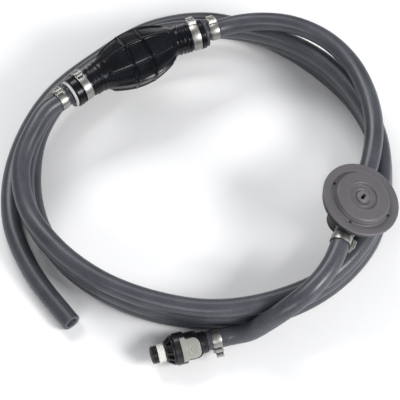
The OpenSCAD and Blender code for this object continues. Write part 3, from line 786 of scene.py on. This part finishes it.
def coupler_body():
    """Flange, barrel and socket, with a window for each release button in the flange's rear part."""
    outline = rounded([
        (19, 6.1, 0.2), (19, 12.4, 0.9), (20.2, 13.4, 0.9), (28.6, 13.3, 0.9), (29.4, 11.4, 0.8),
        (29.6, 9.6, 0.4), (31, 9.15, 0.5), (42.6, 9.05, 0.2), (42.8, 8.7, 0.2), (43.3, 8.7, 0.2),
        (43.5, 9.05, 0.2), (46.0, 9.0, 0.6), (46.75, 8.2, 0.3), (46.75, 5.2, 0.2), (44.8, 5.0, 0.2),
        (38.5, 5.0, 0.2), (38.5, 6.1, 0.2)], 0.4, 3, True)
    n = 240
    turned = coupler_place @ turn(BUTTON_ROLL + 90, "X")
    rings, dense = [], []
    for (x0, r0), (x1, r1) in zip(outline, outline[1:] + outline[:1]):
        steps = max(1, int(abs(x1 - x0) / 0.6))
        dense += [(x0 + (x1 - x0) * k / steps, r0 + (r1 - r0) * k / steps) for k in range(steps)]
    for x, r in dense:
        ring = []
        for j in range(n):
            a = TURN * j / n
            rr = r
            if 24.2 < x < 29.7 and r > 9.3:
                y = abs(r * math.sin(a))
                inside = smoothstep((10.9 - y) / 0.35) * smoothstep((x - 24.2) / 0.25)
                rr = r - (r - 9.3) * inside
            ring.append(turned @ Vector((x, rr * math.sin(a), rr * math.cos(a))))
        rings.append(ring)
    shape = Shape().rings(rings, closed=True)
    for side in (90, 270):
        place = coupler_place @ turn(BUTTON_ROLL + side, "X")
        pad_patch(shape, place, 29.7, 41.6, 10.3, 6.4, 12.3, 8.6, bezel=True)
    shape.make("coupler_skin", paints["black_plastic"], BODY, "black_plastic", ["coupler_body"], 40)


def pad_patch(shape, place, x0, x1, half_y, corner, crown, foot, bezel=False, strip=0.0, strip_end=0.0):
    """A curved panel: square at x0, rounded at x1, with an optional wide strip before strip_end.

    A bezel is the raised rim round a button's window; otherwise the panel is the button itself, with
    a round mark pressed into it.
    """
    rows, cols = (84, 84) if bezel else (64, 56)
    top, bottom = [], []

    def half_at(x):
        h = half_y
        if x > x1 - corner:
            d = x - (x1 - corner)
            h = half_y - corner + math.sqrt(max(corner * corner - d * d, 0.0))
        if strip:
            h = h + (strip - h) * smoothstep((strip_end + 0.5 - x) / 1.0)
        return h
    for i in range(rows + 1):
        x = x0 + (x1 - x0) * (1 - (1 - i / rows) ** 1.6)
        h = max(half_at(x), 0.6)
        row, low = [], []
        for j in range(cols + 1):
            y = h * (-1 + 2 * j / cols)
            edge = min(h - abs(y), (x1 - x) * 1.0, x - x0)
            z = math.sqrt(crown * crown - y * y) - 0.5 * (1 - min(max(edge, 0) / 0.6, 1.0)) ** 2
            if bezel:
                z -= 2.7 * smoothstep((min(h - abs(y), x1 - x) - 0.85) / 0.3)
            else:
                d = math.hypot(x - 34.0, y)
                z -= 0.35 * smoothstep((3.5 - d) / 0.4) - 0.5 * bump(d - 1.7, 0.6)
                z -= 0.35 * bump(x - strip_end - 0.3, 0.5)
            row.append(place @ Vector((x, y, z)))
            low.append(place @ Vector((x, y, math.sqrt(max(foot * foot - y * y, 1.0)))))
        top.append(row)
        bottom.append(low)
    return shape.patch(top, bottom)


def release_button(name, roll, body, node):
    place = coupler_place @ turn(roll, "X")
    shape = pad_patch(Shape(), place, 24.6, 40.1, 8.8, 5.2, 13.0, 11.5, strip=10.5, strip_end=29.2)
    pin = [(0, 0.01), (0, 1.5), (3.2, 1.5), (3.2, 0.01)]
    shape.lathe(pin, place @ Matrix.Translation((33.5, 0, 9.0)), 32, axis="Z")
    shape.make(name, paints["release_plastic"], body, "release_plastic", [node], 42)


def fitting():
    """Threaded nose, finned collar and probe of the tank fitting."""
    shape = Shape()
    outline = [(6.0, 0.01, 0), (6.0, 5.2, 0.3), (0.3, 5.5, 0.3), (0.0, 6.0, 0.2), (0.5, 6.9, 0.3)]
    x = 0.9
    while x < BARE_THREAD:
        outline += [(x, 6.95, 0.15), (x + 0.45, 7.55, 0.15), (x + 0.75, 7.55, 0.15), (x + 1.2, 6.95, 0.15)]
        x += THREAD_STEP
    outline += [
        (x, 7.2, 0.1), (11.5, 7.4, 0.2), (11.5, 8.0, 0.3), (12.3, 9.0, 0.4), (13.2, 9.3, 0.4), (13.4, 7.3, 0.3),
        (17.3, 7.9, 0.3), (17.4, 12.0, 0.4), (17.9, 12.6, 0.5), (18.6, 12.5, 0.4), (18.6, 6.0, 0.3),
        (26.8, 6.0, 0.1), (26.8, 4.6, 0.1), (29.2, 4.6, 0.1), (29.2, 6.0, 0.1), (35.4, 5.9, 0.5),
        (36.0, 5.2, 0.3), (36.0, 2.6, 0.2), (20, 2.6, 0), (20, 0.01, 0)]
    shape.lathe(rounded(outline, 0.3, 2), coupler_place, 120)
    edge = [(12.6 + 5.2 * t / 6, 9.0 + 3.5 * (t / 6) ** 0.9) for t in range(7)]
    for k in range(FINS):
        place = coupler_place @ turn(360 / FINS * k + 8, "X")
        crest = [[place @ Vector((x, y, r - 0.25 * (y / 0.9) ** 2)) for y in (-0.9, -0.6, 0, 0.6, 0.9)]
                 for x, r in edge]
        root = [[place @ Vector((x, y, 7.1)) for y in (-1.1, -0.6, 0, 0.6, 1.1)] for x, r in edge]
        shape.patch(crest, root)
    shape.make("fitting_skin", paints["black_plastic"], "tank_side", "black_plastic", ["tank_fitting"], 36)


def tape():
    """Sealing tape wound over the thread: uneven layers with ragged edges."""
    n, rows = 144, 44
    rings = []
    for i in range(rows + 1):
        t = i / rows
        ring = []
        for j in range(n):
            a = TURN * j / n
            q = Vector((t * 9.0, math.cos(a) * 2.2, math.sin(a) * 2.2))
            start = TAPE_START + 0.35 * noise.noise(Vector((3.1, math.cos(a) * 4, math.sin(a) * 4)))
            end = TAPE_END + 0.18 * noise.noise(Vector((9.7, math.cos(a) * 3, math.sin(a) * 3)))
            lay = 0.08 * math.floor((t * 5 + a / TURN) % 2)
            ridges = 0.24 * math.sin(t * 26.5 - a + 0.6 * noise.noise(q * 0.4))
            r = TAPE_R + lay + 0.08 * noise.noise(q) + ridges
            r -= 0.2 * (1 - smoothstep(min(t, 1 - t) / 0.05))
            ring.append(coupler_place @ Vector((start + (end - start) * t, r * math.sin(a), r * math.cos(a))))
        rings.append(ring)
    circle = [TURN * j / n for j in range(n)]
    for x in (11.2, 5.7):
        rings.append([coupler_place @ Vector((x, TAPE_BORE * math.sin(a), TAPE_BORE * math.cos(a))) for a in circle])
    Shape().rings(rings, closed=True, along=[k * 0.0003 for k in range(rows + 3)]).make(
        "tape_skin", paints["tape"], "tank_side", "tape", ["thread_tape"], 60)


coupler_body()
release_button("front_pad", BUTTON_ROLL + 90, "front_button", "release_button_front")
release_button("rear_pad", BUTTON_ROLL + 270, "rear_button", "release_button_rear")
fitting()
tape()

# ---------------------------------------------------------------- springs

def spring(node, place, coil_r, wire_r, length, turns, joint, far_end_fixed, keep):
    """A wire coil along Z of place. joint and far_end_fixed are not used."""
    rings, steps = [], turns * 20
    for i in range(steps + 1):
        a = math.pi * i / 10
        ring = []
        for j in range(8):
            w = math.pi * j / 4
            r = coil_r + wire_r * math.cos(w)
            z = wire_r + (length - 2 * wire_r) * i / steps - wire_r * math.sin(w)
            ring.append(place @ Vector((r * math.cos(a), r * math.sin(a), z)))
        rings.append(ring)
    obj = Shape().rings(rings, (True, True)).make(
        node + "_wire", paints["spring_wire"], BODY, "spring_wire", [node], 50)
    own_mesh(obj)


for node, place, *wire_and_joint in (
        ("inlet_check_spring", aim(inlet_face - 17.3 * IN, 20) @ turn(90, "Y"),
         3.9, 0.35, 10.6, 5, "inlet_check_slide", False, 0.79),
        ("outlet_check_spring", aim(outlet_face - 15.8 * OUT, 218) @ turn(90, "Y"),
         3.9, 0.35, 10.6, 5, "outlet_check_slide", True, 0.79),
        ("demand_spring", valve_place @ Matrix.Translation((0, 0, -6.9)),
         3.2, 0.35, 4.9, 4, "demand_slide", False, 0.6),
        ("coupler_spring", coupler_place @ Matrix.Translation((42.25, 0, 0)) @ turn(90, "Y"),
         3.6, 0.3, 2.5, 3, "coupler_check_slide", True, 0.37)):
    spring(node, place, *wire_and_joint)
